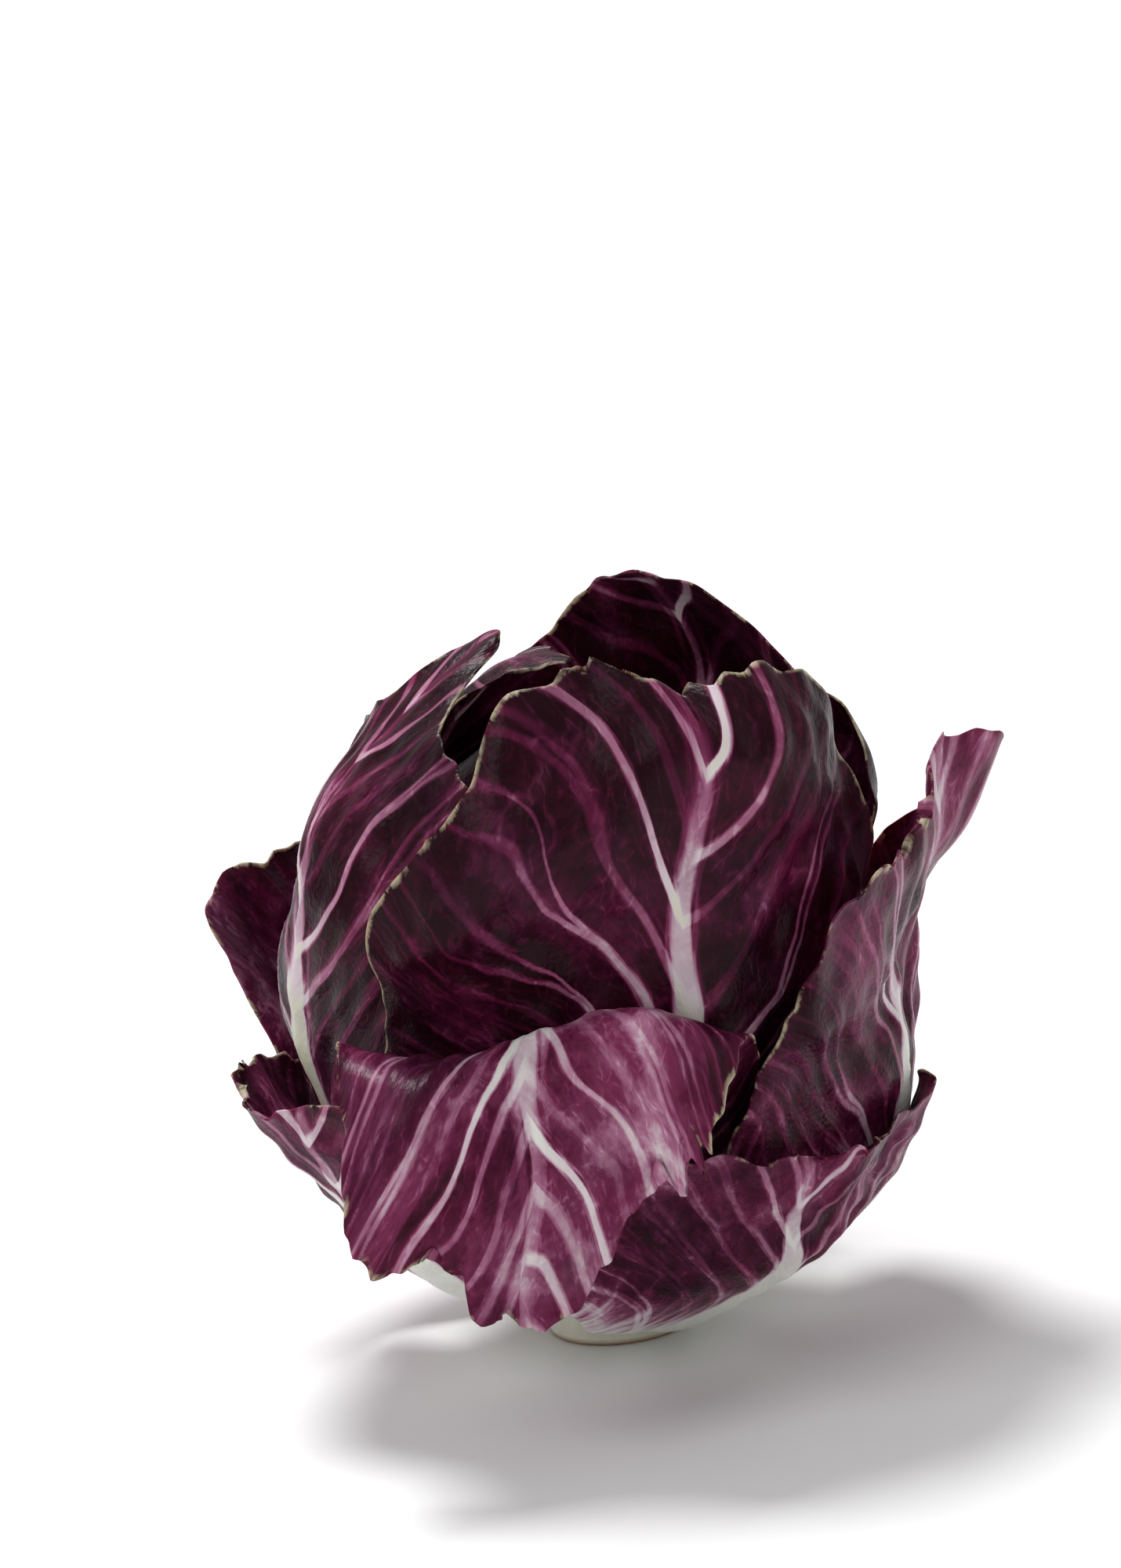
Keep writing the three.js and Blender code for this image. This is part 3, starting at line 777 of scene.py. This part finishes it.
# ---- Open leaves ---------------------------------------------------------------------------
# The next seven leaves stand free of the heart, with waved margins that roll out a little.
# They had most light, so the blade between their white ribs is nearly black.

OPEN_SLACK = (0.25, 0.75)  # of the innermost and of the outermost
open_leaves = (
    dict(bearing=24, flare=3, tip_angle=164, half_width=76, point=2, ruffle=0.6),
    dict(bearing=247, flare=5.5, tip_angle=162, half_width=72, point=3, ruffle=0.7),
    dict(bearing=132, flare=8, tip_angle=160, half_width=60, point=14, ruffle=0.8),
    dict(bearing=340, flare=10.5, tip_angle=148, half_width=72, lip=2, ruffle=0.9),
    dict(bearing=200, flare=13, tip_angle=152, half_width=56, point=15, ruffle=1.0),
    dict(bearing=58, flare=15.5, tip_angle=150, half_width=65, point=0, ruffle=0.9),
    dict(bearing=290, flare=19, tip_angle=144, half_width=64, point=0, lip=4, ruffle=2.2),
)
leaf_grid = leaf_blank(columns=110, rows=112)
open_tissue = leaf_tissue(
    "open_leaf", pigment=0.88, fan_reach=0.3, rib_half=5.6, flesh="#d3d5bd")
for number, sizes in enumerate(open_leaves, CLOSED_COUNT):
    slack = mix(*OPEN_SLACK, (number - CLOSED_COUNT) / (len(open_leaves) - 1))
    leaf = leaf_on_layer(f"leaf_{number + 1:02d}", number, slack=slack, torn=1.0, **sizes)
    grow_leaf(leaf, leaf_grid, open_tissue)


# ---- Loose leaves --------------------------------------------------------------------------
# The oldest leaves have come away from the head: thick white ribs, torn and bruised margins.
# One has folded over at the front, so that its inner face shows, and the others lie low.

loose_leaves = (
    dict(name="loose_leaf_front", number=18.6, bearing=262, flare=20, tip_angle=140,
         half_width=40, ruffle=2.2,
         fold=SimpleNamespace(height=64, radius=10, angle=180, tilt=-2, arch=0.011)),
    dict(name="loose_leaf_left", number=20.2, bearing=219, flare=21, tip_angle=85,
         half_width=54, ruffle=1.8,
         fold=SimpleNamespace(height=38, radius=40, angle=30, tilt=0, arch=0)),
    dict(name="loose_leaf_right", number=21.8, bearing=347, flare=22, tip_angle=120,
         half_width=50, ruffle=2.6,
         fold=SimpleNamespace(height=76, radius=34, angle=18, tilt=0, arch=0)),
    dict(name="loose_leaf_back", number=23.4, bearing=108, flare=23, tip_angle=110,
         half_width=58, ruffle=3.0,
         fold=SimpleNamespace(height=60, radius=24, angle=36, tilt=0, arch=0)),
    dict(name="loose_leaf_low", number=23.2, bearing=303, flare=24, tip_angle=74,
         half_width=50, ruffle=2.4,
         fold=SimpleNamespace(height=26, radius=30, angle=26, tilt=0, arch=0)),
)
loose_tissue = leaf_tissue(
    "loose_leaf", pigment=0.7, fan_reach=0.52, rib_half=8.5, flesh="#e3e6dc")
for sizes in loose_leaves:
    leaf = leaf_on_layer(slack=0.9, torn=1.3, rib=1.3, **sizes)
    grow_leaf(leaf, leaf_grid, loose_tissue)


# ---- Floor, light and camera ---------------------------------------------------------------
# A white table top under soft light: the main lamp stands high behind the head, so that its
# shadow falls to the front. Two weaker ones at the front and a bright room fill it in.

TABLE_HALF_WIDTH = 60000  # so that its edges are out of sight
ROOM_LIGHT = 0.42

bm = bmesh.new()
bmesh.ops.create_grid(bm, x_segments=1, y_segments=1, size=TABLE_HALF_WIDTH * MM)
table_mesh = bpy.data.meshes.new("table_top")
bm.to_mesh(table_mesh)
bm.free()

# White lacquer on board: matt and nearly even, so that only the shadow shows on it.
table_paint, tree = new_tree("white_lacquer")
place = add(tree, "TexCoord", out="Object")
grain = add(tree, "TexNoise", {"Vector": place, "Scale": 1 / (25 * MM)})
tone = add(tree, "Mix", {0: grain, 6: colour("#f2f2f2"), 7: colour("#f8f8f8")}, out=2,
           data_type="RGBA")
add(tree, "OutputMaterial", {"Surface": add(
    tree, "BsdfPrincipled", {"Base Color": tone, "Roughness": 0.6})})
table_mesh.materials.append(table_paint)
table_top = bpy.data.objects.new("table_top", table_mesh)
bpy.context.scene.collection.objects.link(table_top)

world = bpy.data.worlds.new("bright_room")
world.use_nodes = True
world.node_tree.nodes["Background"].inputs["Color"].default_value = (1, 1, 1, 1)
world.node_tree.nodes["Background"].inputs["Strength"].default_value = ROOM_LIGHT
bpy.context.scene.world = world

head_middle = Vector((3, 0, 66)) * MM
for name, place, spread, power in (
    ("lamp_behind", (-140, 400, 950), 18, 2.6),
    ("lamp_above_left", (-480, -420, 700), 30, 0.7),
    ("lamp_right", (700, -300, 420), 40, 0.3),
):
    lamp = bpy.data.lights.new(name, "SUN")
    lamp.angle = math.radians(spread)
    lamp.energy = power
    holder = bpy.data.objects.new(name, lamp)
    holder.location = Vector(place) * MM
    holder.rotation_euler = (head_middle - holder.location).to_track_quat("-Z", "Y").to_euler()
    bpy.context.scene.collection.objects.link(holder)

CAMERA_DISTANCE = 900
CAMERA_ELEVATION = 13
CAMERA_ROLL = 6.5
FRAME_WIDTH = 199  # of what is seen at the head's middle
LOOK_AT = (-3, 0, 35)  # from the head's middle
camera_data = bpy.data.cameras.new("camera")
camera_data.sensor_fit = "HORIZONTAL"
camera_data.lens = camera_data.sensor_width * CAMERA_DISTANCE / FRAME_WIDTH
camera = bpy.data.objects.new("camera", camera_data)
bpy.context.scene.collection.objects.link(camera)
elevation = math.radians(CAMERA_ELEVATION)
target = head_middle + Vector(LOOK_AT) * MM
back = Vector((0, -math.cos(elevation), math.sin(elevation)))
looking = (-back).to_track_quat("-Z", "Y").to_matrix().to_4x4()
rolled = Matrix.Rotation(math.radians(-CAMERA_ROLL), 4, "Z")
camera.matrix_world = Matrix.Translation(target + back * CAMERA_DISTANCE * MM) @ looking @ rolled
bpy.context.scene.camera = camera
bpy.context.scene.view_settings.view_transform = "Standard"
